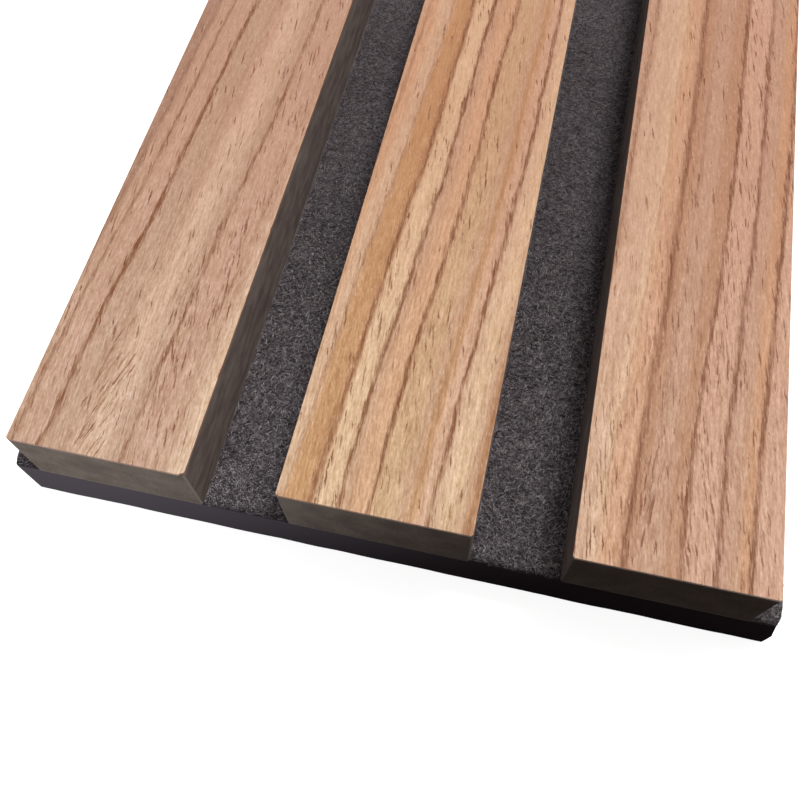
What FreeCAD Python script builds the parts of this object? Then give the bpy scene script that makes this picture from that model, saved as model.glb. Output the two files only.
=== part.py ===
import FreeCAD, Part
import math
import os

# Acoustic slat wall panel: a short sawn length that lies on its felt back.
# Veneered MDF slats stand in a row on a board of needle-punched felt, and wire
# staples driven from the back hold them to it.
# Frame, in millimetres: the origin is the centre of the back face, +X runs across
# the slats, +Y along them away from the sawn near end, +Z out of the wall.

# Panel. The middle slat was ripped a little wider than the outer two
SLATS = ("left", "centre", "right")
PANEL_LENGTH = 200.0
SLAT_WIDTH = 26.8
CENTRE_EXTRA = 0.7
SLAT_GAP = 13.3
MARGIN_LEFT = 4.7
MARGIN_RIGHT = 5.0

# Layers, from the wall outwards
FELT_THICKNESS = 10.2
PAPER_THICKNESS = 0.25
CORE_THICKNESS = 11.6
VENEER_THICKNESS = 0.6

# Wear of the sawn ends: broken slat corners, felt corners that the saw drew in,
# and the chip out of the left slat's veneer
EDGE_BREAK = 0.25
CORNER_SWEEP = 10.0
DRAWN_IN_LEFT = 0.6
DRAWN_IN_RIGHT = 0.4
CHIP_ACROSS = 0.8
CHIP_ALONG = 0.5

# Staples of flat wire with chisel points, their crowns pulled into the felt
CROWN_WIDTH = 12.8
WIRE_WIDTH = 0.95
WIRE_THICKNESS = 0.65
BEND_RADIUS = 0.5
POINT_LENGTH = 1.3
CROWN_SINK = 0.4
LEG_BITE = 5.95
SLOT_CLEARANCE = 0.05
DIMPLE_FLARE = 1.3
STAPLE_INSET = 50.0
STAPLE_SPACING = 100.0

# Sizes and heights that follow
SLAT_WIDTHS = (SLAT_WIDTH, SLAT_WIDTH + CENTRE_EXTRA, SLAT_WIDTH)
SLAT_FIELD = sum(SLAT_WIDTHS) + (len(SLATS) - 1) * SLAT_GAP
PANEL_WIDTH = MARGIN_LEFT + SLAT_FIELD + MARGIN_RIGHT
NEAR_END = -PANEL_LENGTH / 2
FAR_END = PANEL_LENGTH / 2
CORE_BASE = FELT_THICKNESS + PAPER_THICKNESS
VENEER_BASE = CORE_BASE + CORE_THICKNESS
LEG_TIP = CORE_BASE + LEG_BITE

Vector = FreeCAD.Vector


def slat_left_edge(index):
    """X of the left side of a slat, counted from the left."""
    return -PANEL_WIDTH / 2 + MARGIN_LEFT + sum(SLAT_WIDTHS[:index]) + index * SLAT_GAP


def staple_rows():
    """Y of each row of staples."""
    room = PANEL_LENGTH - 2 * STAPLE_INSET
    count = 1 + max(0, math.floor(room / STAPLE_SPACING + 1e-6))
    first = -(count - 1) * STAPLE_SPACING / 2
    return [first + row * STAPLE_SPACING for row in range(count)]


def staple_places(index):
    """Centre of each staple's crown behind one slat."""
    middle = slat_left_edge(index) + SLAT_WIDTHS[index] / 2
    return [Vector(middle, row, 0) for row in staple_rows()]


def bend_edges(body, half_width, height):
    """The edges of a staple's two bends, which run along Y at one height."""
    found = []
    for edge in body.Edges:
        centre = edge.CenterOfMass
        at_bend = abs(abs(centre.x) - half_width) < 1e-4 and abs(centre.z - height) < 1e-4
        if at_bend and edge.BoundBox.YLength > WIRE_WIDTH / 2:
            found.append(edge)
    return found


def staple(place, grow=0.0):
    """One staple, or with grow the slot that it needs in what it is driven through."""
    outside = CROWN_WIDTH / 2 + grow
    inside = CROWN_WIDTH / 2 - WIRE_THICKNESS - grow
    crown_back = CROWN_SINK - grow
    crown_front = CROWN_SINK + WIRE_THICKNESS + grow
    point_slope = POINT_LENGTH / WIRE_THICKNESS
    point_rise = grow * math.hypot(1, point_slope)
    tip = LEG_TIP + point_slope * grow + point_rise
    shoulder = LEG_TIP - POINT_LENGTH - point_slope * grow + point_rise
    outline = [
        Vector(-outside, 0, tip),
        Vector(-outside, 0, crown_back),
        Vector(outside, 0, crown_back),
        Vector(outside, 0, tip),
        Vector(inside, 0, shoulder),
        Vector(inside, 0, crown_front),
        Vector(-inside, 0, crown_front),
        Vector(-inside, 0, shoulder),
    ]
    face = Part.Face(Part.makePolygon(outline + outline[:1]))
    width = WIRE_WIDTH + 2 * grow
    body = face.extrude(Vector(0, width, 0))
    body.translate(Vector(0, -width / 2, 0))
    outer_radius = BEND_RADIUS + WIRE_THICKNESS + grow
    body = body.makeFillet(outer_radius, bend_edges(body, outside, crown_back))
    body = body.makeFillet(BEND_RADIUS - grow, bend_edges(body, inside, crown_front))
    body.translate(place)
    return body


def crown_dimple(place):
    """The sunk place in the felt's back that a crown pulls in, open to the back face."""
    half_crown = CROWN_WIDTH / 2 + SLOT_CLEARANCE
    half_wire = WIRE_WIDTH / 2 + SLOT_CLEARANCE
    mouth = rectangle(half_crown + DIMPLE_FLARE, half_wire + DIMPLE_FLARE, 0)
    seat = rectangle(half_crown, half_wire, CROWN_SINK + WIRE_THICKNESS)
    dimple = Part.makeLoft([mouth, seat], True, True)
    dimple.translate(place)
    return dimple


def rectangle(half_x, half_y, height):
    """A level rectangle round the Z axis."""
    corners = [
        Vector(-half_x, -half_y, height),
        Vector(half_x, -half_y, height),
        Vector(half_x, half_y, height),
        Vector(-half_x, half_y, height),
    ]
    return Part.makePolygon(corners + corners[:1])


def drawn_in_corner(side, draw):
    """Arc from a long edge of the felt to its near end, for side -1 left or 1 right."""
    reach = math.sqrt(draw * (2 * CORNER_SWEEP - draw))
    half_turn = math.asin(reach / CORNER_SWEEP) / 2
    edge_x = PANEL_WIDTH / 2
    start = Vector(side * edge_x, NEAR_END + reach, 0)
    middle_x = edge_x - CORNER_SWEEP * (1 - math.cos(half_turn))
    middle_y = NEAR_END + reach - CORNER_SWEEP * math.sin(half_turn)
    middle = Vector(side * middle_x, middle_y, 0)
    end = Vector(side * (edge_x - draw), NEAR_END, 0)
    return Part.Arc(start, middle, end).toShape()


def felt_board():
    """The felt before it is stapled: square at the far end, drawn in at the near corners."""
    left = drawn_in_corner(-1, DRAWN_IN_LEFT)
    right = drawn_in_corner(1, DRAWN_IN_RIGHT)
    far_left = Vector(-PANEL_WIDTH / 2, FAR_END, 0)
    far_right = Vector(PANEL_WIDTH / 2, FAR_END, 0)
    sides = [
        left,
        Part.makeLine(left.Vertexes[-1].Point, right.Vertexes[-1].Point),
        right,
        Part.makeLine(right.Vertexes[0].Point, far_right),
        Part.makeLine(far_right, far_left),
        Part.makeLine(far_left, left.Vertexes[0].Point),
    ]
    outline = Part.Wire(sides)
    return Part.Face(outline).extrude(Vector(0, 0, FELT_THICKNESS))


def slat_layer(index, base, thickness):
    """One flat layer of a slat, its upright corners broken at the sawn ends."""
    corner = Vector(slat_left_edge(index), NEAR_END, base)
    layer = Part.makeBox(SLAT_WIDTHS[index], PANEL_LENGTH, thickness, corner)
    upright = [edge for edge in layer.Edges if edge.BoundBox.ZLength > thickness / 2]
    return layer.makeChamfer(EDGE_BREAK, upright)


def corner_chip():
    """The corner of veneer that is missing at the left slat's near right corner."""
    right_side = slat_left_edge(0) + SLAT_WIDTHS[0]
    outline = [
        Vector(right_side - CHIP_ACROSS, NEAR_END, VENEER_BASE),
        Vector(right_side, NEAR_END, VENEER_BASE),
        Vector(right_side, NEAR_END + CHIP_ALONG, VENEER_BASE),
    ]
    face = Part.Face(Part.makePolygon(outline + outline[:1]))
    return face.extrude(Vector(0, 0, VENEER_THICKNESS))


def staples_behind(index, grow=0.0):
    """All the staples of one slat, or with grow their slots."""
    return [staple(place, grow) for place in staple_places(index)]


# The pieces, each under the name of its file
pieces = {}
felt_cuts = []
all_staples = []
for index, name in enumerate(SLATS):
    slots = staples_behind(index, SLOT_CLEARANCE)
    felt_cuts += slots
    felt_cuts += [crown_dimple(place) for place in staple_places(index)]
    all_staples += staples_behind(index)
    pieces["backing_paper_" + name] = slat_layer(index, FELT_THICKNESS, PAPER_THICKNESS).cut(slots)
    pieces["core_" + name] = slat_layer(index, CORE_BASE, CORE_THICKNESS).cut(slots)
    pieces["veneer_" + name] = slat_layer(index, VENEER_BASE, VENEER_THICKNESS)
pieces["veneer_left"] = pieces["veneer_left"].cut(corner_chip())
pieces["felt_backing"] = felt_board().cut(felt_cuts)
pieces["staples"] = Part.makeCompound(all_staples)

os.makedirs("parts", exist_ok=True)
for name, shape in pieces.items():
    shape.exportStep("parts/" + name + ".step")
    print(name, len(shape.Solids), "solid, volume", round(shape.Volume, 1), "valid", shape.isValid())
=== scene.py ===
import bpy
import math
import numpy as np
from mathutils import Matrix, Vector
from mathutils.bvhtree import BVHTree


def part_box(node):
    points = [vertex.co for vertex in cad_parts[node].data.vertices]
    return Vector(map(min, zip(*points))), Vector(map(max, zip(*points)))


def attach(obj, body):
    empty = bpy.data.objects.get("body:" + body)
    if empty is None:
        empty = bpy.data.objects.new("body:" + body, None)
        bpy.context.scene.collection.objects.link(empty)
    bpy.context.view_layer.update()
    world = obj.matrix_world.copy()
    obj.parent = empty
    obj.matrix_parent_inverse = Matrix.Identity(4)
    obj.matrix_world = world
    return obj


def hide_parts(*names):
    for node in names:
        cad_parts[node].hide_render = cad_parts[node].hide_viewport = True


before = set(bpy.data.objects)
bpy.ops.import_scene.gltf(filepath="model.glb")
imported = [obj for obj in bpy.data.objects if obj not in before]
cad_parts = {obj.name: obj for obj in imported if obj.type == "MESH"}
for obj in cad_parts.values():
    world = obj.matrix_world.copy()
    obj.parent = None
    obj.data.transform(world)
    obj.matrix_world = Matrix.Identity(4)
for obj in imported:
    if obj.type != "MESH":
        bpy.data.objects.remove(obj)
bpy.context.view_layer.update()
MM = 0.001


# Felt backing. The real board is polyester staple fibre, dyed charcoal, carded into a
# fleece and needle-punched to about 10 mm. It is soft enough that its sawn edges round
# over, its near corners were drawn in by the saw, and each staple's crown sinks into it.
SLATS = ("left", "centre", "right")
FELT_CORNER_SWEEP = 10.0 * MM
FELT_DRAWN_IN = {-1: 0.6 * MM, 1: 0.4 * MM}
FELT_LEAN = {-1: 0.0 * MM, 1: 0.62 * MM}
FELT_LEAN_START = 0.4
FELT_TOP_PULL = 2.3
FELT_RIM_REACH = 5 * MM
# The roundest edge, and what share of it each kind of edge has: the near and far edges in
# the gaps and under the slats, the long sides, the back's edges and the upright corners
FELT_EDGE_ROUND = 1.1 * MM
FELT_EDGE_SHARES = {"gap": 1.0, "slat": 0.12, "side": 0.35, "back": 0.15, "upright": 0.3}
FELT_GRID = 1.5 * MM
FELT_WALL_ROWS = 6
FELT_UNEVEN = 0.22 * MM
FELT_LIE_SIZE = 9 * MM
FELT_SMOOTH_ANGLE = 40
# Y over which painted shade darkens the near rim, and over which painted shade makes the felt plainer and
# darker towards the far end
RIM_SHADE_SPAN = (-100.1 * MM, -98.6 * MM)
FAR_SHADE_SPAN = (-60 * MM, -10 * MM)
DIMPLE_MOUTH = (15.5 * MM, 3.6 * MM)
DIMPLE_SEAT = (12.9 * MM, 1.05 * MM)
DIMPLE_DEPTH = 1.1 * MM
STAPLE_ROWS = (-50.0 * MM, 50.0 * MM)

FELT_BODY = "#6C6568"
FELT_HOLLOW = "#2E2A2C"
FELT_LINT = "#B4ADB0"
# The sawn near end's own even tone, darkened as painted shade
FELT_CUT_END_AND_SHADE = "#625B60"
FIBRE_DARK = "#363134"
FIBRE_MID = "#857D81"
FIBRE_LIGHT = "#D0C8CC"
# Painted glint on the palest fibres
FIBRE_PAINTED_GLINT = "#FFFAFC"
# Painted shade of the fibres towards the far end
FIBRE_FAR_SHADE = "#6E676A"


def linear(hex_colour):
    """An sRGB hex colour as linear red, green, blue and alpha."""
    channels = [int(hex_colour[i:i + 2], 16) / 255 for i in (1, 3, 5)]
    return [c / 12.92 if c <= 0.04045 else ((c + 0.055) / 1.055) ** 2.4 for c in channels] + [1.0]


def add_node(tree, kind, settings=None, inputs=None):
    """A new node with its settings, its inputs set or linked. A node stands for its first output."""
    node = tree.nodes.new(kind)
    for name, value in (settings or {}).items():
        setattr(node, name, value)
    for socket, value in (inputs or {}).items():
        if isinstance(value, bpy.types.Node):
            value = value.outputs[0]
        if isinstance(value, bpy.types.NodeSocket):
            tree.links.new(value, node.inputs[socket])
        else:
            node.inputs[socket].default_value = value
    return node


def start_material(name):
    """A material with nothing in it but its Principled BSDF and output."""
    material = bpy.data.materials.new(name)
    material.use_nodes = True
    tree = material.node_tree
    return material, tree, tree.nodes["Principled BSDF"]


def set_ramp(node, stops):
    """Fills a colour ramp from a list of (place, hex colour)."""
    ramp = node.color_ramp
    while len(ramp.elements) > 1:
        ramp.elements.remove(ramp.elements[-1])
    ramp.elements[0].position = stops[0][0]
    ramp.elements[0].color = linear(stops[0][1])
    for place, colour in stops[1:]:
        ramp.elements.new(place).color = linear(colour)


def deselect_all():
    """Leaves nothing selected, so that an operator meets only its own piece."""
    if bpy.context.object and bpy.context.object.mode != "OBJECT":
        bpy.ops.object.mode_set(mode="OBJECT")
    bpy.ops.object.select_all(action="DESELECT")


def apply_modifier(piece, kind, **settings):
    """Adds one modifier to a piece and applies it."""
    modifier = piece.modifiers.new(kind.title(), kind)
    for name, value in settings.items():
        setattr(modifier, name, value)
    bpy.context.view_layer.objects.active = piece
    bpy.ops.object.modifier_apply(modifier=modifier.name)


def felt_board():
    """The board as a closed, finely divided slab with rounded, drawn-in edges."""
    low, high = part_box("felt_backing")
    size = high - low
    centre = (low + high) / 2
    deselect_all()
    bpy.ops.mesh.primitive_grid_add(
        x_subdivisions=round(size.x / FELT_GRID),
        y_subdivisions=round(size.y / FELT_GRID),
        size=1,
        location=(centre.x, centre.y, low.z),
    )
    board = bpy.context.object
    board.name = "felt_board"
    board.scale = (size.x, size.y, 1)
    bpy.ops.object.transform_apply(location=True, rotation=True, scale=True)
    bpy.ops.object.mode_set(mode="EDIT")
    bpy.ops.mesh.select_all(action="SELECT")
    bpy.ops.mesh.extrude_region_move(TRANSFORM_OT_translate={"value": (0, 0, size.z)})
    bpy.ops.mesh.select_mode(type="EDGE")
    bpy.ops.mesh.select_all(action="DESELECT")
    bpy.ops.object.mode_set(mode="OBJECT")
    for edge in board.data.edges:
        ends = [board.data.vertices[i].co for i in edge.vertices]
        edge.select = abs(ends[0].z - ends[1].z) > size.z / 2
    bpy.ops.object.mode_set(mode="EDIT")
    bpy.ops.mesh.subdivide(number_cuts=FELT_WALL_ROWS)
    bpy.ops.mesh.select_all(action="SELECT")
    bpy.ops.mesh.normals_make_consistent(inside=False)
    bpy.ops.object.mode_set(mode="OBJECT")
    weigh_edges(board, low, high)
    for vertex in board.data.vertices:
        draw_in_corner(vertex.co, low, high)
    apply_modifier(board, "BEVEL", width=FELT_EDGE_ROUND, segments=3, limit_method="WEIGHT")
    return board


def weigh_edges(board, low, high):
    """Sets how far each edge of the slab rounds over, as a share of the roundest."""
    slats = [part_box("core_" + name) for name in SLATS]
    weights = board.data.attributes.new("bevel_weight_edge", "FLOAT", "EDGE")
    close = 0.01 * MM
    for edge in board.data.edges:
        ends = [board.data.vertices[i].co for i in edge.vertices]
        middle = (ends[0] + ends[1]) / 2
        on_side = high.x - abs(middle.x) < close
        on_end = high.y - abs(middle.y) < close
        if on_side and on_end:
            share = FELT_EDGE_SHARES["upright"]
        elif not (on_side or on_end):
            continue
        elif abs(middle.z - low.z) < close:
            share = FELT_EDGE_SHARES["back"]
        elif abs(middle.z - high.z) > close:
            continue
        elif on_side:
            share = FELT_EDGE_SHARES["side"]
        else:
            covered = any(box[0].x < middle.x < box[1].x for box in slats)
            share = FELT_EDGE_SHARES["slat" if covered else "gap"]
        weights.data[edge.index].value = share


def draw_in_corner(point, low, high):
    """Moves a point of the board's rim in: the right side leans in towards its top, and the
    near corners were drawn in by the saw, the right one mostly at its top."""
    side = 1 if point.x > 0 else -1
    outer = max(0.0, (abs(point.x) - high.x + FELT_RIM_REACH) / FELT_RIM_REACH)
    raised = max(0.0, (point.z / high.z - FELT_LEAN_START) / (1 - FELT_LEAN_START))
    draw = FELT_DRAWN_IN[side]
    reach = math.sqrt(draw * (2 * FELT_CORNER_SWEEP - draw))
    past = max(0.0, reach - (point.y - low.y))
    pull = FELT_CORNER_SWEEP - math.sqrt(FELT_CORNER_SWEEP ** 2 - past ** 2)
    if side > 0:
        pull *= FELT_TOP_PULL * raised
    point.x -= side * outer * (pull + FELT_LEAN[side] * raised)


def press_dimples(board):
    """Sinks the tapered dimples of the staples' crowns into the back of the board."""
    slats = [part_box("core_" + name) for name in SLATS]
    middles = [(box[0].x + box[1].x) / 2 for box in slats]
    deselect_all()
    cutters = []
    for middle in middles:
        for row in STAPLE_ROWS:
            bpy.ops.mesh.primitive_cube_add(size=2, location=(middle, row, 0))
            cutter = bpy.context.object
            cutter.scale = (DIMPLE_MOUTH[0] / 2, DIMPLE_MOUTH[1] / 2, DIMPLE_DEPTH)
            bpy.ops.object.transform_apply(location=True, rotation=True, scale=True)
            for vertex in cutter.data.vertices:
                if vertex.co.z > 0:
                    vertex.co.x = middle + math.copysign(DIMPLE_SEAT[0] / 2, vertex.co.x - middle)
                    vertex.co.y = row + math.copysign(DIMPLE_SEAT[1] / 2, vertex.co.y - row)
            cutters.append(cutter)
    for cutter in cutters:
        cutter.select_set(True)
    bpy.context.view_layer.objects.active = cutters[0]
    bpy.ops.object.join()
    cutter = bpy.context.object
    apply_modifier(board, "BOOLEAN", operation="DIFFERENCE", object=cutter, solver="EXACT")
    bpy.data.objects.remove(cutter)


def roughen(board):
    """Lets the board's faces rise and fall a little, always inwards of the plain slab."""
    clouds = bpy.data.textures.new("felt_lie", "CLOUDS")
    clouds.noise_scale = FELT_LIE_SIZE
    clouds.noise_depth = 3
    apply_modifier(board, "DISPLACE", texture=clouds, texture_coords="LOCAL", strength=FELT_UNEVEN,
                   mid_level=1.0)


def painted_far_shade(tree):
    """Painted shade: 0 near the sawn end, rising towards the far end, where the felt is painted plainer and
    darker.
    """
    place = add_node(tree, "ShaderNodeTexCoord").outputs["Object"]
    along = add_node(tree, "ShaderNodeSeparateXYZ", None, {"Vector": place}).outputs["Y"]
    return add_node(tree, "ShaderNodeMapRange", None,
                    {"Value": along, "From Min": FAR_SHADE_SPAN[0], "From Max": FAR_SHADE_SPAN[1],
                     "To Min": 0.0, "To Max": 0.7})


def painted_rim_shade(tree):
    """Painted shade: 1 on the face of the felt, less over the edge that its near end rounds over."""
    place = add_node(tree, "ShaderNodeTexCoord").outputs["Object"]
    along = add_node(tree, "ShaderNodeSeparateXYZ", None, {"Vector": place}).outputs["Y"]
    return add_node(tree, "ShaderNodeMapRange", {"interpolation_type": "SMOOTHSTEP"},
                    {"Value": along, "From Min": RIM_SHADE_SPAN[0], "From Max": RIM_SHADE_SPAN[1],
                     "To Min": 0.35, "To Max": 1.0})


def felt_material():
    """Needle-punched polyester felt: matt and dark, mottled by the fibres' lie, with lint."""
    material, tree, shader = start_material("needle_punched_polyester_felt")
    coordinates = add_node(tree, "ShaderNodeTexCoord")
    place = coordinates.outputs["Object"]
    swirl = add_node(tree, "ShaderNodeTexNoise", None,
                     {"Vector": place, "Scale": 1 / (6 * MM), "Detail": 2.0, "Distortion": 0.6})
    turned = add_node(tree, "ShaderNodeVectorMath", {"operation": "MULTIPLY_ADD"},
                      {0: swirl.outputs["Color"], 1: (1.6 * MM,) * 3, 2: place})
    strands = add_node(tree, "ShaderNodeTexNoise", None,
                       {"Vector": turned.outputs["Vector"], "Scale": 1 / (0.28 * MM), "Detail": 4.0,
                        "Roughness": 0.6, "Distortion": 1.0})
    tone = add_node(tree, "ShaderNodeValToRGB", None, {"Fac": strands.outputs["Fac"]})
    set_ramp(tone, [(0.34, FELT_HOLLOW), (0.50, FELT_BODY), (0.62, FELT_BODY), (0.76, FELT_LINT)])
    patches = add_node(tree, "ShaderNodeTexNoise", None,
                       {"Vector": place, "Scale": 1 / (14 * MM), "Detail": 3.0})
    lift = add_node(tree, "ShaderNodeMapRange", None,
                    {"Value": patches.outputs["Fac"], "From Min": 0.3, "From Max": 0.7,
                     "To Min": 0.86, "To Max": 1.12})
    # Painted shade: towards the far end the felt fades to its plain, darker body tone
    far_shaded = add_node(tree, "ShaderNodeMix", {"data_type": "RGBA"},
                         {"Factor": painted_far_shade(tree), 6: tone, 7: linear(FELT_BODY)})
    mottled = add_node(tree, "ShaderNodeVectorMath", {"operation": "SCALE"},
                       {0: far_shaded.outputs[2], "Scale": lift.outputs["Result"]})
    relief = add_node(tree, "ShaderNodeBump", None,
                      {"Height": strands.outputs["Fac"], "Strength": 0.5, "Distance": 0.12 * MM})
    facing = add_node(tree, "ShaderNodeSeparateXYZ", None, {"Vector": coordinates.outputs["Normal"]})
    # Painted shade darkens the felt where its near edge rounds over
    rimmed = add_node(tree, "ShaderNodeVectorMath", {"operation": "SCALE"},
                      {0: mottled, "Scale": painted_rim_shade(tree)})
    # The sawn near end takes its own even tone, kept darker than the body as painted shade
    cut = add_node(tree, "ShaderNodeMapRange", None,
                   {"Value": facing.outputs["Y"], "From Min": -0.85, "From Max": -0.99, "To Min": 0.0,
                    "To Max": 0.85})
    finished = add_node(tree, "ShaderNodeMix", {"data_type": "RGBA"},
                        {"Factor": cut, 6: rimmed, 7: linear(FELT_CUT_END_AND_SHADE)})
    tree.links.new(finished.outputs[2], shader.inputs["Base Color"])
    tree.links.new(relief.outputs["Normal"], shader.inputs["Normal"])
    shader.inputs["Roughness"].default_value = 0.95
    shader.inputs["Specular IOR Level"].default_value = 0.0
    return material


def fibre_material():
    """Single polyester fibres: most as dark as the board, some paler, and the palest painted near white as
    glints.
    """
    material, tree, shader = start_material("dyed_polyester_fibre")
    which = add_node(tree, "ShaderNodeNewGeometry").outputs["Random Per Island"]
    tone = add_node(tree, "ShaderNodeValToRGB", None, {"Fac": which})
    # The palest fibres are painted near white as glints
    set_ramp(tone, [(0.0, FIBRE_DARK), (0.32, FIBRE_DARK), (0.60, FIBRE_MID), (0.84, FIBRE_LIGHT),
                    (1.0, FIBRE_PAINTED_GLINT)])
    # Painted shade: towards the far end the fibres fade to a darker flat tone
    far_shaded = add_node(tree, "ShaderNodeMix", {"data_type": "RGBA"},
                         {"Factor": painted_far_shade(tree), 6: tone, 7: linear(FIBRE_FAR_SHADE)})
    # Painted shade darkens the fibres over the rounded near edge
    rimmed = add_node(tree, "ShaderNodeVectorMath", {"operation": "SCALE"},
                      {0: far_shaded.outputs[2], "Scale": painted_rim_shade(tree)})
    tree.links.new(rimmed.outputs[0], shader.inputs["Base Color"])
    shader.inputs["Roughness"].default_value = 0.6
    shader.inputs["Specular IOR Level"].default_value = 0.05
    return material


def scatter_fibres(name, strip, reach, density, flow, seed):
    """Short ends of fibre on a bare strip of the felt's face. Each is a closed three-sided
    spindle with pointed ends and a bend, which lies in the surface or lifts an end from it."""
    rng = np.random.default_rng(seed)
    area = (strip[1] - strip[0]) * (reach[1] - reach[0]) / MM ** 2
    count = round(area * (density[0] + density[1]) / 2)
    fall = density[1] ** 2 - density[0] ** 2
    down = (np.sqrt(density[0] ** 2 + fall * rng.random(count)) - density[0]) / (density[1] - density[0])
    middle = np.zeros((count, 3))
    middle[:, 0] = rng.uniform(strip[0], strip[1], count)
    middle[:, 1] = felt_low.y + reach[0] + down * (reach[1] - reach[0])
    swirl = 0.7 * np.sin(middle[:, 1] / (7 * MM)) + 0.6 * np.sin(middle[:, 0] / (3 * MM))
    heading = rng.normal(flow, FIBRE_STRAY, count) + swirl + math.pi * rng.integers(0, 2, count)
    half = np.clip(rng.lognormal(math.log(FIBRE_HALF), FIBRE_HALF_SPREAD, count), *FIBRE_HALF_LIMITS)
    way = np.stack([np.cos(heading), np.sin(heading), np.zeros(count)], axis=1)
    side = np.stack([np.sin(heading), -np.cos(heading), np.zeros(count)], axis=1)
    bend = rng.normal(0, FIBRE_BEND, count)
    spine = np.stack([middle - way * half[:, None], middle + side * (bend * half)[:, None],
                      middle + way * half[:, None]])
    keep_inside(spine, 0, strip[0], strip[1])
    keep_inside(spine, 1, felt_low.y, felt_high.y - 0.5 * MM)
    lift = FIBRE_LOFT * rng.random(count) ** 1.5
    free_end = FIBRE_LOFT * 1.6 * rng.random(count) ** 3
    heights = np.stack([np.full(count, -FIBRE_ROOT), lift, free_end - FIBRE_ROOT])
    spine[:, :, 2] = felt_high.z
    lay_on_board(spine, heights)
    radius = rng.uniform(*FIBRE_RADII, count) * MM
    ring = []
    for turn in range(3):
        angle = math.pi / 2 + turn * 2 * math.pi / 3
        rim = side * math.cos(angle) + np.array((0, 0, math.sin(angle)))
        ring.append(spine[1] + rim * radius[:, None])
    points = np.stack([spine[0]] + ring + [spine[2]], axis=1).reshape(-1, 3)
    strand = []
    for turn in range(3):
        after = (turn + 1) % 3
        strand.append((0, 1 + after, 1 + turn))
        strand.append((4, 1 + turn, 1 + after))
    faces = (np.array(strand)[None] + 5 * np.arange(count)[:, None, None]).reshape(-1, 3)
    mesh = bpy.data.meshes.new(name)
    mesh.from_pydata(points.tolist(), [], faces.tolist())
    mesh.update()
    piece = bpy.data.objects.new(name, mesh)
    bpy.context.scene.collection.objects.link(piece)
    return piece


def keep_inside(spine, axis, least, most):
    """Moves each fibre that passes a limit back by as much as it passes it."""
    past = np.maximum(spine[:, :, axis].max(axis=0) - most, 0)
    short = np.maximum(least - spine[:, :, axis].min(axis=0), 0)
    spine[:, :, axis] += short - past


def lay_on_board(spine, heights):
    """Moves each point to the board's nearest surface, and out of it by its height."""
    for point, height in zip(spine.reshape(-1, 3), heights.reshape(-1)):
        place, normal = felt_surface.find_nearest(Vector(point))[:2]
        point[:] = place + normal * height


felt = felt_board()
press_dimples(felt)
roughen(felt)
felt.data.materials.clear()
felt.data.materials.append(felt_material())
deselect_all()
felt.select_set(True)
bpy.ops.object.shade_smooth_by_angle(angle=math.radians(FELT_SMOOTH_ANGLE))
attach(felt, "root")
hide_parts("felt_backing")

felt_low, felt_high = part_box("felt_backing")
slat_boxes = [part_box("core_" + name) for name in SLATS]
felt_surface = BVHTree.FromPolygons([vertex.co for vertex in felt.data.vertices],
                                    [list(face.vertices) for face in felt.data.polygons])
stops = [felt_low.x] + [box[side].x for box in slat_boxes for side in (0, 1)] + [felt_high.x]
bare_strips = list(zip(stops[0::2], stops[1::2]))
fibres = fibre_material()
# Half length of a fibre with its spread and limits, its radii in mm, its bend as a share of
# the half length, how far its ends sink in and how high it lifts, and its stray in radians
FIBRE_HALF = 0.40 * MM
FIBRE_HALF_SPREAD = 0.45
FIBRE_HALF_LIMITS = (0.18 * MM, 1.2 * MM)
FIBRE_RADII = (0.022, 0.042)
FIBRE_BEND = 0.2
FIBRE_ROOT = 0.02 * MM
FIBRE_LOFT = 0.30 * MM
FIBRE_STRAY = 0.95
# Name, bare strip, bare edges in mm, start and end along the board in mm, fibres to a
# square millimetre at the start and the end, and the way they mostly lie, in degrees
FIBRE_PATCHES = [
    ("left_margin", 0, (0.6, 0.05), (0.0, 199.5), (16, 6), 50),
    ("left_gap_rim", 1, (0.05, 0.05), (0.0, 1.3), (80, 20), 50),
    ("left_gap_near", 1, (0.05, 0.05), (0.3, 50.0), (44, 34), 50),
    ("left_gap_middle", 1, (0.05, 0.05), (50.0, 110.0), (34, 20), 50),
    ("left_gap_far", 1, (0.05, 0.05), (110.0, 199.5), (17, 8), 50),
    ("right_gap_rim", 2, (0.05, 0.05), (0.0, 1.3), (80, 20), 10),
    ("right_gap_near", 2, (0.05, 0.05), (0.3, 50.0), (44, 34), 10),
    ("right_gap_middle", 2, (0.05, 0.05), (50.0, 110.0), (34, 20), 10),
    ("right_gap_far", 2, (0.05, 0.05), (110.0, 199.5), (17, 8), 10),
    ("right_margin", 3, (0.05, 0.8), (0.2, 199.5), (30, 6), 30),
]
for seed, (name, strip, bare, reach, density, flow) in enumerate(FIBRE_PATCHES, start=11):
    left = bare_strips[strip][0] + bare[0] * MM
    right = bare_strips[strip][1] - bare[1] * MM
    along = (reach[0] * MM, reach[1] * MM)
    piece = scatter_fibres("fibres_" + name, (left, right), along, density, math.radians(flow), seed)
    piece.data.materials.append(fibres)
    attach(piece, "root")


# MDF cores. Each slat is dyed fibreboard, ripped from a pressed board and left bare:
# the sawn ends show the fine even fibre, the sides the streaks of the rip saw.
MDF_END = "#80756B"
MDF_END_FLECK = "#6B6158"
MDF_SIDE = "#887C76"
MDF_SIDE_STREAK = "#6A5F5B"
# Paler rubbed edge, with a painted highlight where the small chamfer catches the light
MDF_EDGE_WEAR_AND_HIGHLIGHT = "#A0968C"


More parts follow.
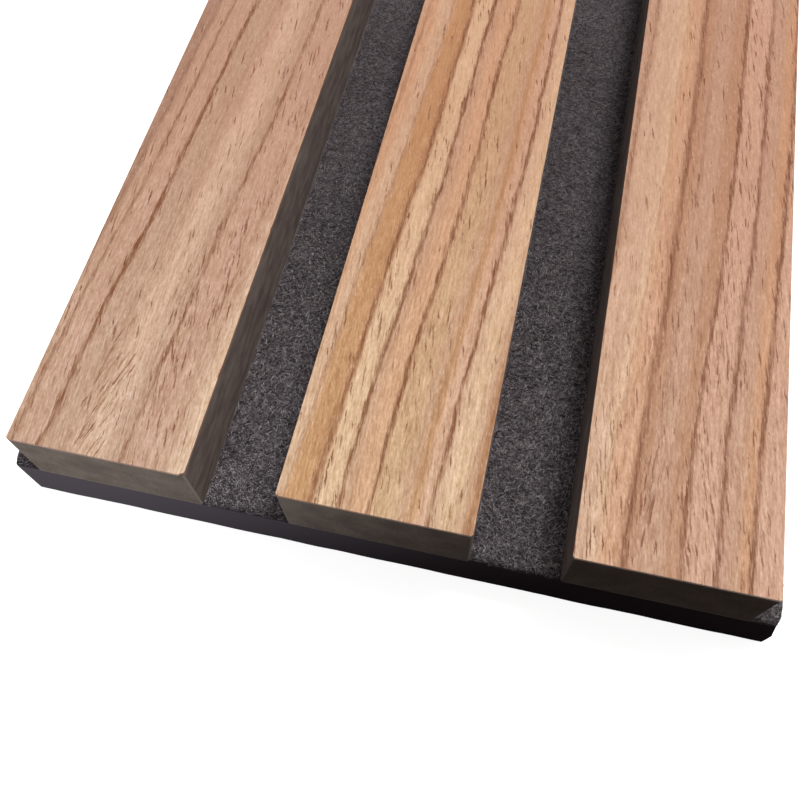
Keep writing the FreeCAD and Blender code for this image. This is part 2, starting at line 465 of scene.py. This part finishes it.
def mdf_material():
    """Dyed MDF: matt, finely speckled on the sawn ends, streaked along the sides."""
    material, tree, shader = start_material("dyed_mdf_sawn")
    coordinates = add_node(tree, "ShaderNodeTexCoord")
    place = coordinates.outputs["Object"]
    speck = add_node(tree, "ShaderNodeTexNoise", None,
                     {"Vector": place, "Scale": 1 / (0.5 * MM), "Detail": 4.0, "Roughness": 0.6})
    cloud = add_node(tree, "ShaderNodeTexNoise", None,
                     {"Vector": place, "Scale": 1 / (5 * MM), "Detail": 2.0})
    end_fac = add_node(tree, "ShaderNodeMath", {"operation": "MULTIPLY_ADD"},
                       {0: speck.outputs["Fac"], 1: 0.6, 2: cloud.outputs["Fac"]})
    end_tone = add_node(tree, "ShaderNodeValToRGB", None, {"Fac": end_fac.outputs["Value"]})
    set_ramp(end_tone, [(0.65, MDF_END_FLECK), (0.95, MDF_END)])
    long_grain = add_node(tree, "ShaderNodeMapping", None,
                          {"Vector": place, "Scale": (1.0, 0.22, 0.8)})
    streak = add_node(tree, "ShaderNodeTexNoise", None,
                      {"Vector": long_grain.outputs["Vector"], "Scale": 1 / (1.1 * MM), "Detail": 4.0,
                       "Roughness": 0.6})
    side_tone = add_node(tree, "ShaderNodeValToRGB", None, {"Fac": streak.outputs["Fac"]})
    set_ramp(side_tone, [(0.36, MDF_SIDE_STREAK), (0.66, MDF_SIDE)])
    facing = add_node(tree, "ShaderNodeSeparateXYZ", None, {"Vector": coordinates.outputs["Normal"]})
    end_share = add_node(tree, "ShaderNodeMath", {"operation": "ABSOLUTE"}, {0: facing.outputs["Y"]})
    tone = add_node(tree, "ShaderNodeMix", {"data_type": "RGBA"},
                    {"Factor": end_share.outputs["Value"], 6: side_tone.outputs["Color"],
                     7: end_tone.outputs["Color"]})
    side_share = add_node(tree, "ShaderNodeMath", {"operation": "ABSOLUTE"}, {0: facing.outputs["X"]})
    both = add_node(tree, "ShaderNodeMath", {"operation": "MULTIPLY"}, {0: end_share, 1: side_share})
    # The chamfered edges are painted paler: partly rubbed wear, partly a painted highlight
    edge_wear_and_highlight = add_node(tree, "ShaderNodeMapRange", None,
                    {"Value": both, "From Min": 0.2, "From Max": 0.45, "To Min": 0.0, "To Max": 1.0})
    edged = add_node(tree, "ShaderNodeMix", {"data_type": "RGBA"},
                     {"Factor": edge_wear_and_highlight, 6: tone.outputs[2], 7: linear(MDF_EDGE_WEAR_AND_HIGHLIGHT)})
    relief = add_node(tree, "ShaderNodeBump", None,
                      {"Height": speck.outputs["Fac"], "Strength": 0.25, "Distance": 0.05 * MM})
    tree.links.new(edged.outputs[2], shader.inputs["Base Color"])
    tree.links.new(relief.outputs["Normal"], shader.inputs["Normal"])
    shader.inputs["Roughness"].default_value = 0.85
    shader.inputs["Specular IOR Level"].default_value = 0.02
    return material


mdf = mdf_material()
for name in SLATS:
    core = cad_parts["core_" + name]
    core.data.materials.clear()
    core.data.materials.append(mdf)


# Backing papers. A thin kraft paper is pressed under each core to balance the veneer,
# so that the slat stays flat. Only its cut edge shows, as a fine paler line.
PAPER_EDGE = "#8A8077"
PAPER_FIBRE = "#736A61"

# Unbleached paper, calendered: a matt line, faintly mottled by its pulp
material, tree, shader = start_material("kraft_balancing_paper")
place = add_node(tree, "ShaderNodeTexCoord").outputs["Object"]
pulp = add_node(tree, "ShaderNodeTexNoise", None,
                {"Vector": place, "Scale": 1 / (0.8 * MM), "Detail": 3.0})
paper_tone = add_node(tree, "ShaderNodeValToRGB", None, {"Fac": pulp.outputs["Fac"]})
set_ramp(paper_tone, [(0.35, PAPER_FIBRE), (0.65, PAPER_EDGE)])
tree.links.new(paper_tone.outputs["Color"], shader.inputs["Base Color"])
shader.inputs["Roughness"].default_value = 0.9
shader.inputs["Specular IOR Level"].default_value = 0.1
for name in SLATS:
    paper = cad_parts["backing_paper_" + name]
    paper.data.materials.clear()
    paper.data.materials.append(material)


# Veneer faces. Each is a 0.6 mm sheet of straight-grained hardwood, sliced, glued to
# the board before it was ripped, sanded and oiled to a low sheen. Brown growth lines
# run nearly along the slat, and short open pores lie in the paler wood between them.
WOOD = {
    "cream": "#D9B797",
    "pale": "#D1AE92",
    "straw": "#C9A583",
    "pink": "#CEA68C",
    "rose": "#C59D85",
    "peach": "#D0A585",
    "tan": "#C39D82",
    "grey": "#BF9B81",
    "gold": "#C2956D",
    "ochre": "#C99B78",
    "umber": "#BA8F70",
    "brown": "#B58763",
    "dusk": "#AF8A72",
}
LINE_COLOUR = "#88583A"
PORE_COLOUR = "#7A4224"
FLECK_COLOUR = "#F0D9C2"
CUT_EDGE_COLOUR = "#7C5B48"
# The cast of each sheet at its near end and from 70 mm on, as shares of red, green and blue: each sheet's
# own tone with painted light, cooler and lighter at the near end and darker as painted shade further on
SHEET_CAST_AND_PAINTED_LIGHT = {
    "left": ((1.03, 1.09, 1.16), (0.93, 0.885, 0.90)),
    "centre": ((1.03, 1.06, 1.02), (0.905, 0.82, 0.77)),
    "right": ((0.975, 0.96, 0.96), (0.89, 0.81, 0.785)),
}

# Bands of tone across each slat at its near end, in mm from its left side
BANDS = {
    "left": [
        (-6, "dusk"), (-2, "dusk"), (-0.8, "tan"), (1.8, "tan"), (3.6, "rose"), (4.6, "tan"), (6, "grey"),
        (8, "grey"), (10.3, "tan"), (11.6, "pale"), (13.6, "pale"), (16, "grey"), (18.4, "tan"),
        (20.4, "rose"), (22, "tan"), (23.6, "tan"), (24.8, "pale"), (25.8, "cream"), (27, "pale"),
        (29, "tan"),
    ],
    "centre": [
        (-6, "tan"), (-2.0, "peach"), (-0.6, "pale"), (0.8, "pale"), (1.6, "gold"), (3.6, "gold"),
        (4.7, "brown"), (5.6, "cream"), (7.9, "cream"), (9.3, "tan"), (10.8, "peach"), (12.4, "peach"),
        (13.6, "straw"), (16.0, "straw"), (17.6, "tan"), (18.8, "gold"), (19.6, "pink"), (20.8, "pink"),
        (22.0, "pale"), (24.4, "cream"), (25.6, "tan"), (26.8, "brown"), (28.4, "rose"),
    ],
    "right": [
        (-6, "tan"), (-2.4, "tan"), (-1.4, "pale"), (1.4, "pale"), (2.6, "cream"), (3.8, "peach"),
        (5.2, "peach"), (6.0, "umber"), (7.6, "umber"), (8.6, "tan"), (10.8, "tan"), (11.8, "umber"),
        (13.2, "umber"), (14.2, "pink"), (17.2, "pink"), (18.4, "rose"), (20.2, "tan"), (21.5, "ochre"),
        (22.2, "ochre"), (23.0, "pink"), (27, "pink"),
    ],
}
# Growth lines at the near end: place in mm, half width in mm, strength
LINES = {
    "left": [
        (-1.9, 0.5, 0.35), (0.8, 0.40, 0.60), (5.0, 0.48, 1.0), (9.0, 0.35, 0.22), (17.3, 0.42, 0.60),
        (22.4, 0.35, 0.25),
    ],
    "centre": [
        (-3.0, 0.4, 0.35), (1.0, 0.3, 0.35), (4.8, 0.42, 0.75), (8.6, 0.44, 0.95), (12.9, 0.44, 0.90),
        (18.5, 0.40, 0.22), (21.2, 0.44, 0.92), (26.7, 0.5, 0.40),
    ],
    "right": [
        (-2.5, 0.4, 0.5), (3.0, 0.30, 0.2), (6.4, 0.55, 0.70), (8.6, 0.35, 0.30), (13.7, 0.45, 0.9),
        (18.1, 0.44, 0.80), (22.6, 0.44, 0.95),
    ],
}
# How crowded the pores are, from 0 to 1, at places in mm
CROWDING = {
    "left": [
        (-6, 0.1), (0.5, 0.4), (2, 0.08), (3.6, 0.1), (5.0, 0.7), (6.2, 0.12), (9, 0.22), (11, 0.15),
        (13, 0.3), (16, 0.35), (17.2, 0.8), (19, 0.35), (22, 0.5), (24, 0.2), (26, 0.1),
    ],
    "centre": [
        (-6, 0.1), (0.2, 0.15), (1.0, 0.5), (2.0, 0.06), (3.9, 0.08), (4.8, 0.6), (5.9, 0.65),
        (7.9, 0.7), (9.0, 0.45), (10.0, 0.10), (11.9, 0.10), (12.9, 0.6), (14.1, 0.4), (16.0, 0.28),
        (17.2, 0.06), (19.2, 0.06), (21.1, 0.6), (22.2, 0.2), (24.5, 0.22), (27, 0.15),
    ],
    "right": [
        (-6, 0.15), (0, 0.2), (3, 0.25), (5.8, 0.6), (7.2, 0.3), (9.6, 0.3), (11, 0.12), (12.8, 0.06),
        (13.8, 0.7), (14.6, 0.95), (17.2, 0.9), (18.4, 0.5), (20, 0.1), (22.6, 0.6), (24, 0.4),
        (26.5, 0.2),
    ],
}
# Patches where the pores crowd and lean: centre and half size in mm, lean in degrees
PORE_PATCHES = {
    "left": [((12.0, 9.5), (3.4, 15), 14), ((19.2, 15), (2.4, 15), -12), ((23.0, 34), (1.6, 15), -8)],
    "centre": [],
    "right": [((2.2, 14), (2.2, 14), -9), ((9.0, 11), (1.8, 14), 5)],
}
# Fibre streaks: across and along in mm, lean in degrees, and the tones they reach
FIBRE_LAYERS = [
    (0.7, 9.0, -2.0, 0.90, 1.10),
    (0.34, 2.4, -6.0, 0.80, 1.20),
    (0.22, 0.70, -12.0, 0.88, 1.12),
]
SCALE_START = -6.0
SCALE_SPAN = 36.0
# Sideways drift of the grain, in mm, at each distance from the near end, in mm
GRAIN_DRIFT = [(0, 0.0), (20, 0.7), (40, 1.9), (60, 3.0), (80, 3.7), (100, 4.1), (150, 4.3), (200, 3.6)]
DRIFT_REACH = 200.0
DRIFT_SPAN = 10.0


def grey(value):
    """The grey hex colour that has a given linear value."""
    srgb = 12.92 * value if value <= 0.0031308 else 1.055 * value ** (1 / 2.4) - 0.055
    return "#" + "{:02X}".format(round(255 * srgb)) * 3


def along_grain(tree, lie, across, along, lean=0.0, shift=0.0):
    """Noise in streaks along the grain, with features about across by along mm."""
    turned = add_node(tree, "ShaderNodeMapping", None,
                      {"Vector": lie, "Rotation": (0, 0, math.radians(lean)), "Location": (shift, shift, 0)})
    squeezed = add_node(tree, "ShaderNodeMapping", None,
                        {"Vector": turned, "Scale": (1 / across, 1 / along, 1.0)})
    return add_node(tree, "ShaderNodeTexNoise", {"noise_dimensions": "2D"},
                    {"Vector": squeezed, "Scale": 1.0, "Detail": 3.0, "Roughness": 0.62})


def over_slat(tree, place, stops):
    """A colour ramp whose stops are in mm across the slat."""
    share = add_node(tree, "ShaderNodeMapRange", None,
                     {"Value": place, "From Min": SCALE_START, "From Max": SCALE_START + SCALE_SPAN})
    ramp = add_node(tree, "ShaderNodeValToRGB", None, {"Fac": share})
    set_ramp(ramp, [((mm - SCALE_START) / SCALE_SPAN, colour) for mm, colour in stops])
    return ramp


def pore_dashes(tree, lie, across, along, share, lean, shift):
    """Short dark dashes nearly along the grain: one in a share of cells across by along mm."""
    turned = add_node(tree, "ShaderNodeMapping", None,
                      {"Vector": lie, "Rotation": (0, 0, math.radians(lean)), "Location": (shift, shift, 0)})
    cells = add_node(tree, "ShaderNodeMapping", None,
                     {"Vector": turned, "Scale": (1 / across, 1 / along, 1.0)})
    spots = add_node(tree, "ShaderNodeTexVoronoi", {"voronoi_dimensions": "2D"},
                     {"Vector": cells, "Scale": 1.0, "Randomness": 1.0})
    draw = add_node(tree, "ShaderNodeSeparateColor", None, {"Color": spots.outputs["Color"]})
    size = add_node(tree, "ShaderNodeMapRange", None,
                    {"Value": draw.outputs["Blue"], "To Min": 0.5, "To Max": 1.1})
    reach = add_node(tree, "ShaderNodeMath", {"operation": "DIVIDE"}, {0: spots, 1: size})
    dash = add_node(tree, "ShaderNodeMapRange", {"interpolation_type": "SMOOTHSTEP"},
                    {"Value": reach, "From Min": 0.34, "From Max": 0.12, "To Min": 0.0, "To Max": 1.0})
    chosen = add_node(tree, "ShaderNodeMath", {"operation": "LESS_THAN"}, {0: draw.outputs["Red"], 1: share})
    strength = add_node(tree, "ShaderNodeMapRange", None,
                        {"Value": draw.outputs["Green"], "To Min": 0.35, "To Max": 1.0})
    kept = add_node(tree, "ShaderNodeMath", {"operation": "MULTIPLY"}, {0: dash, 1: chosen})
    return add_node(tree, "ShaderNodeMath", {"operation": "MULTIPLY"}, {0: kept, 1: strength})


def patch_share(tree, place, centre, half_size):
    """1 in the middle of an oval patch, falling to 0 at its rim."""
    from_centre = add_node(tree, "ShaderNodeVectorMath", {"operation": "SUBTRACT"},
                           {0: place, 1: (centre[0], centre[1], 0)})
    in_halves = add_node(tree, "ShaderNodeVectorMath", {"operation": "MULTIPLY"},
                         {0: from_centre, 1: (1 / half_size[0], 1 / half_size[1], 0)})
    distance = add_node(tree, "ShaderNodeVectorMath", {"operation": "LENGTH"}, {0: in_halves})
    return add_node(tree, "ShaderNodeMapRange", None,
                    {"Value": distance.outputs["Value"], "From Min": 1.0, "From Max": 0.4,
                     "To Min": 0.0, "To Max": 0.9})


def veneer_material(name, low, seed):
    """Sliced hardwood veneer, oiled: bands, ragged growth lines, fibre streaks and pores."""
    material, tree, shader = start_material("sliced_hardwood_veneer_" + name)
    coordinates = add_node(tree, "ShaderNodeTexCoord")
    flat = add_node(tree, "ShaderNodeMapping", None,
                    {"Vector": coordinates.outputs["Object"], "Scale": (1000, 1000, 0),
                     "Location": (-low.x / MM, -low.y / MM, 0)})
    place = add_node(tree, "ShaderNodeSeparateXYZ", None, {"Vector": flat})
    run = add_node(tree, "ShaderNodeMath", {"operation": "DIVIDE"}, {0: place.outputs["Y"], 1: DRIFT_REACH})
    drift = add_node(tree, "ShaderNodeFloatCurve", None, {"Value": run})
    curve = drift.mapping.curves[0]
    curve.points[0].location = (0, GRAIN_DRIFT[0][1] / DRIFT_SPAN)
    curve.points[1].location = (1, GRAIN_DRIFT[-1][1] / DRIFT_SPAN)
    for distance, sideways in GRAIN_DRIFT[1:-1]:
        curve.points.new(distance / DRIFT_REACH, sideways / DRIFT_SPAN)
    drift.mapping.update()
    straight = add_node(tree, "ShaderNodeMath", {"operation": "MULTIPLY_ADD"},
                        {0: drift, 1: -DRIFT_SPAN, 2: place.outputs["X"]})
    wander = add_node(tree, "ShaderNodeMath", {"operation": "SUBTRACT"},
                      {0: along_grain(tree, flat, 9.0, 38.0, 0.0, seed), 1: 0.5})
    grain_x = add_node(tree, "ShaderNodeMath", {"operation": "MULTIPLY_ADD"},
                       {0: wander, 1: 1.6, 2: straight})
    lie = add_node(tree, "ShaderNodeCombineXYZ", None, {"X": grain_x, "Y": place.outputs["Y"]})

    # Bands and growth lines, with ragged edges
    soft_edge = add_node(tree, "ShaderNodeMath", {"operation": "SUBTRACT"},
                         {0: along_grain(tree, flat, 0.7, 7.0, 0.0, seed + 7), 1: 0.5})
    band_x = add_node(tree, "ShaderNodeMath", {"operation": "MULTIPLY_ADD"},
                      {0: soft_edge, 1: 1.7, 2: grain_x})
    bands = over_slat(tree, band_x, [(mm, WOOD[tone]) for mm, tone in BANDS[name]])
    rough_edge = add_node(tree, "ShaderNodeMath", {"operation": "SUBTRACT"},
                          {0: along_grain(tree, flat, 0.4, 3.6, -4.0, seed + 13), 1: 0.5})
    line_x = add_node(tree, "ShaderNodeMath", {"operation": "MULTIPLY_ADD"},
                      {0: rough_edge, 1: 1.2, 2: grain_x})
    line_stops = []
    for mm, half, strength in LINES[name]:
        line_stops += [(mm - half, grey(0.0)), (mm - 0.3 * half, grey(strength))]
        line_stops += [(mm + 0.3 * half, grey(strength)), (mm + 1.3 * half, grey(0.0))]
    waxing = add_node(tree, "ShaderNodeMapRange", None,
                      {"Value": along_grain(tree, flat, 3.0, 14.0, 0.0, seed + 19), "From Min": 0.3,
                       "From Max": 0.7, "To Min": 0.6, "To Max": 1.2})
    row = add_node(tree, "ShaderNodeMapRange", None,
                   {"Value": along_grain(tree, lie, 0.3, 3.0, -6.0, seed + 29), "From Min": 0.35,
                    "From Max": 0.6, "To Min": 0.6, "To Max": 1.3})
    drawn = add_node(tree, "ShaderNodeMath", {"operation": "MULTIPLY"},
                     {0: over_slat(tree, line_x, line_stops), 1: waxing})
    line_share = add_node(tree, "ShaderNodeMath", {"operation": "MULTIPLY"}, {0: drawn, 1: row})
    lined = add_node(tree, "ShaderNodeMix", {"data_type": "RGBA"},
                     {"Factor": line_share, 6: bands, 7: linear(LINE_COLOUR)})

    # Fibre: streaks of three widths over broad clouds, browner where they are darker, and
    # strongest near the sawn end
    lift = add_node(tree, "ShaderNodeMapRange", None,
                    {"Value": along_grain(tree, lie, 2.4, 15.0, 0.0, seed), "From Min": 0.25,
                     "From Max": 0.75, "To Min": 0.93, "To Max": 1.06})
    for across, along, lean, least, most in FIBRE_LAYERS:
        layer = add_node(tree, "ShaderNodeMapRange", None,
                         {"Value": along_grain(tree, lie, across, along, lean, seed + 10 * across),
                          "From Min": 0.25, "From Max": 0.75, "To Min": least, "To Max": most})
        lift = add_node(tree, "ShaderNodeMath", {"operation": "MULTIPLY"}, {0: lift, 1: layer})
    nearness = add_node(tree, "ShaderNodeMapRange", None,
                        {"Value": place.outputs["Y"], "From Min": 20.0, "From Max": 70.0,
                         "To Min": 1.3, "To Max": 0.75})
    above = add_node(tree, "ShaderNodeMath", {"operation": "SUBTRACT"}, {0: lift, 1: 1.0})
    uneven = add_node(tree, "ShaderNodeMath", {"operation": "MULTIPLY"}, {0: above, 1: nearness})
    browning = add_node(tree, "ShaderNodeVectorMath", {"operation": "MULTIPLY_ADD"},
                        {0: uneven, 1: (0.8, 1.05, 1.35), 2: (1.0, 1.0, 1.0)})
    wood = add_node(tree, "ShaderNodeVectorMath", {"operation": "MULTIPLY"},
                    {0: lined.outputs[2], 1: browning})

    # Pores, in clusters, fewer towards the far end
    crowding = over_slat(tree, grain_x, [(mm, grey(share)) for mm, share in CROWDING[name]])
    clusters = add_node(tree, "ShaderNodeMapRange", None,
                        {"Value": along_grain(tree, lie, 1.8, 10.0, 0.0, seed + 23), "From Min": 0.38,
                         "From Max": 0.62, "To Min": 0.15, "To Max": 1.3})
    thinning = add_node(tree, "ShaderNodeMapRange", None,
                        {"Value": place.outputs["Y"], "From Min": 20.0, "From Max": 120.0,
                         "To Min": 1.0, "To Max": 0.42})
    share = add_node(tree, "ShaderNodeMath", {"operation": "MULTIPLY"}, {0: crowding, 1: clusters})
    share = add_node(tree, "ShaderNodeMath", {"operation": "MULTIPLY"}, {0: share, 1: thinning})
    frayed = add_node(tree, "ShaderNodeMath", {"operation": "SUBTRACT"},
                      {0: along_grain(tree, flat, 0.35, 1.5, 0.0, seed + 43), 1: 0.5})
    frayed = add_node(tree, "ShaderNodeCombineXYZ", None, {"X": frayed})
    frayed_lie = add_node(tree, "ShaderNodeVectorMath", {"operation": "MULTIPLY_ADD"},
                          {0: frayed, 1: (0.5, 0, 0), 2: lie})
    frayed_flat = add_node(tree, "ShaderNodeVectorMath", {"operation": "MULTIPLY_ADD"},
                           {0: frayed, 1: (0.5, 0, 0), 2: flat})
    pores = pore_dashes(tree, frayed_lie, 0.52, 9.0, share, -8.0, seed)
    pores = add_node(tree, "ShaderNodeMath", {"operation": "MAXIMUM"},
                     {0: pores, 1: pore_dashes(tree, frayed_lie, 0.46, 6.0, share, -11.0, seed + 31)})
    for centre, half_size, lean in PORE_PATCHES[name]:
        inside = patch_share(tree, flat, centre, half_size)
        for across, along in ((0.52, 11.0), (0.46, 7.0)):
            more = pore_dashes(tree, frayed_flat, across, along, inside, lean, seed + centre[1] + along)
            pores = add_node(tree, "ShaderNodeMath", {"operation": "MAXIMUM"}, {0: pores, 1: more})
    pore_share = add_node(tree, "ShaderNodeMath", {"operation": "MULTIPLY"}, {0: pores, 1: 0.92})
    pored = add_node(tree, "ShaderNodeMix", {"data_type": "RGBA"},
                     {"Factor": pore_share, 6: wood, 7: linear(PORE_COLOUR)})
    flecks = pore_dashes(tree, lie, 0.36, 1.6, 0.35, -8.0, seed + 71)
    fleck_share = add_node(tree, "ShaderNodeMath", {"operation": "MULTIPLY"}, {0: flecks, 1: 0.32})
    flecked = add_node(tree, "ShaderNodeMix", {"data_type": "RGBA"},
                       {"Factor": fleck_share, 6: pored.outputs[2], 7: linear(FLECK_COLOUR)})

    # Each sheet's own cast with painted light: cooler and lighter near the sawn end, redder and darker
    # towards the far end as painted shade; and darker on the cut edges of the sheet
    away = add_node(tree, "ShaderNodeMapRange", None,
                    {"Value": place.outputs["Y"], "From Min": 5.0, "From Max": 70.0})
    painted_light_tint = add_node(tree, "ShaderNodeMix", {"data_type": "RGBA"},
                    {"Factor": away, 6: SHEET_CAST_AND_PAINTED_LIGHT[name][0] + (1,), 7: SHEET_CAST_AND_PAINTED_LIGHT[name][1] + (1,)})
    painted_light_tinted = add_node(tree, "ShaderNodeVectorMath", {"operation": "MULTIPLY"},
                      {0: flecked.outputs[2], 1: painted_light_tint.outputs[2]})
    facing = add_node(tree, "ShaderNodeSeparateXYZ", None, {"Vector": coordinates.outputs["Normal"]})
    edge = add_node(tree, "ShaderNodeMapRange", None,
                    {"Value": facing.outputs["Z"], "From Min": 0.9, "From Max": 0.4, "To Min": 0.0,
                     "To Max": 0.75})
    finished = add_node(tree, "ShaderNodeMix", {"data_type": "RGBA"},
                        {"Factor": edge, 6: painted_light_tinted, 7: linear(CUT_EDGE_COLOUR)})
    relief = add_node(tree, "ShaderNodeBump", {"invert": True},
                      {"Height": pores, "Strength": 0.3, "Distance": 0.04 * MM})
    tree.links.new(finished.outputs[2], shader.inputs["Base Color"])
    tree.links.new(relief.outputs["Normal"], shader.inputs["Normal"])
    shader.inputs["Roughness"].default_value = 0.52
    shader.inputs["Specular IOR Level"].default_value = 0.15
    return material


for name, seed in (("left", 3.0), ("centre", 41.0), ("right", 87.0)):
    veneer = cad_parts["veneer_" + name]
    veneer.data.materials.clear()
    veneer.data.materials.append(veneer_material(name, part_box("veneer_" + name)[0], seed))


# Staples. Flat wire, drawn, zinc coated and cut to a chisel point, driven from the back.
# Only the crowns show, sunk in the felt.
ZINC = "#A9ABAC"

# Drawn through a die and zinc coated: grey metal, its mirroring blurred along the wire
material, tree, shader = start_material("zinc_coated_steel_wire_drawn")
place = add_node(tree, "ShaderNodeTexCoord").outputs["Object"]
drawn = add_node(tree, "ShaderNodeMapping", None, {"Vector": place, "Scale": (0.08, 1.0, 1.0)})
scratches = add_node(tree, "ShaderNodeTexNoise", None,
                     {"Vector": drawn.outputs["Vector"], "Scale": 1 / (0.12 * MM), "Detail": 3.0})
gloss = add_node(tree, "ShaderNodeMapRange", None,
                 {"Value": scratches.outputs["Fac"], "To Min": 0.28, "To Max": 0.55})
tree.links.new(gloss.outputs["Result"], shader.inputs["Roughness"])
shader.inputs["Base Color"].default_value = linear(ZINC)
shader.inputs["Metallic"].default_value = 1.0
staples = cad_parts["staples"]
staples.data.materials.clear()
staples.data.materials.append(material)


# Floor and backdrop. A plain white ground under the panel. It shows white and keeps the
# panel's shadow, and it throws back less light than a real white floor would.
FLOOR_HALF = 3.0
FLOOR_DROP = 0.15 * MM

deselect_all()
bpy.ops.mesh.primitive_plane_add(size=2 * FLOOR_HALF, location=(0, 0, -FLOOR_DROP))
floor = bpy.context.object
floor.name = "floor"
material, tree, shader = start_material("white_ground")
tree.nodes.remove(shader)
path = add_node(tree, "ShaderNodeLightPath")
seen = add_node(tree, "ShaderNodeMath", {"operation": "MAXIMUM"},
                {0: path.outputs["Is Camera Ray"], 1: path.outputs["Is Glossy Ray"]})
seen = add_node(tree, "ShaderNodeMath", {"operation": "MAXIMUM"},
                {0: seen.outputs["Value"], 1: path.outputs["Is Transmission Ray"]})
glow = add_node(tree, "ShaderNodeEmission", None, {"Color": linear("#FFFFFF"), "Strength": 0.89})
paint = add_node(tree, "ShaderNodeBsdfDiffuse", None, {"Color": linear("#DCDCDC")})
shown = add_node(tree, "ShaderNodeAddShader", None, {0: glow.outputs[0], 1: paint.outputs[0]})
bounce = add_node(tree, "ShaderNodeBsdfDiffuse", None, {"Color": linear("#3A2426")})
ground = add_node(tree, "ShaderNodeMixShader", None,
                  {0: seen.outputs["Value"], 1: bounce.outputs[0], 2: shown.outputs[0]})
tree.links.new(ground.outputs[0], tree.nodes["Material Output"].inputs["Surface"])
floor.data.materials.append(material)


# Light. A soft lamp high at the back right lights the faces of the slats and shades the
# right side of each gap. A small low lamp at the front left lights the sawn ends, and
# fades to the right. The sky is white to the eye, and dim as a light.
def add_lamp(name, kind, place, target, energy, settings):
    """A lamp in millimetres of place, turned to its target."""
    lamp = bpy.data.lights.new(name, kind)
    lamp.energy = energy
    for setting, value in settings.items():
        setattr(lamp, setting, value)
    holder = bpy.data.objects.new(name, lamp)
    bpy.context.scene.collection.objects.link(holder)
    start = np.array(place) * MM
    holder.location = start
    way = np.array(target) * MM - start
    holder.rotation_euler = (math.atan2(math.hypot(way[0], way[1]), -way[2]), 0,
                             math.atan2(way[1], way[0]) - math.pi / 2)
    return holder


add_lamp("key_lamp", "AREA", (255, 285, 930), (0, -40, 10), 6.7,
         {"shape": "DISK", "size": 0.39, "color": (1.0, 0.97, 0.955)})
add_lamp("low_lamp", "SPOT", (-63.4, -218.5, 28), (-79.3, -100, 64.3), 0.40,
         {"spot_size": math.radians(97.4), "spot_blend": 0.63, "shadow_soft_size": 0.015,
          "color": (0.96, 0.98, 1.04)})

world = bpy.data.worlds.new("white_room")
bpy.context.scene.world = world
world.use_nodes = True
tree = world.node_tree
sky = tree.nodes["Background"]
direction = add_node(tree, "ShaderNodeTexCoord").outputs["Generated"]
height = add_node(tree, "ShaderNodeVectorMath", {"operation": "DOT_PRODUCT"},
                  {0: direction, 1: (0.3, 0.85, 0.42)})
dim = add_node(tree, "ShaderNodeMapRange", None,
               {"Value": height.outputs["Value"], "From Min": 0.05, "From Max": 1.0,
                "To Min": 0.04, "To Max": 1.2})
path = add_node(tree, "ShaderNodeLightPath")
seen = add_node(tree, "ShaderNodeMath", {"operation": "MAXIMUM"},
                {0: path.outputs["Is Camera Ray"], 1: path.outputs["Is Glossy Ray"]})
seen = add_node(tree, "ShaderNodeMath", {"operation": "MAXIMUM"},
                {0: seen, 1: path.outputs["Is Transmission Ray"]})
strength = add_node(tree, "ShaderNodeMix", {"data_type": "FLOAT"}, {0: seen, 2: dim, 3: 1.0})
colour = add_node(tree, "ShaderNodeMix", {"data_type": "RGBA"},
                  {0: seen, 6: (1.0, 0.97, 0.955, 1.0), 7: linear("#FFFFFF")})
tree.links.new(strength.outputs[0], sky.inputs["Strength"])
tree.links.new(colour.outputs[2], sky.inputs["Color"])


# Camera. It stands close above the near end, a little right of the middle, and looks
# down along the slats, so that the far end leaves the frame at the top.
CAMERA_PLACE = (14.44, -135.41, 137.38)
CAMERA_TURN = (27.527, 1.383, 12.670)
CAMERA_LENS = 39.797
CAMERA_RISE = -0.0375

lens = bpy.data.cameras.new("camera")
lens.lens = CAMERA_LENS
lens.sensor_width = 36.0
lens.shift_y = CAMERA_RISE
lens.clip_start = 1 * MM
camera = bpy.data.objects.new("camera", lens)
bpy.context.scene.collection.objects.link(camera)
camera.location = [value * MM for value in CAMERA_PLACE]
camera.rotation_euler = [math.radians(value) for value in CAMERA_TURN]
bpy.context.scene.camera = camera
bpy.context.scene.view_settings.view_transform = "Standard"
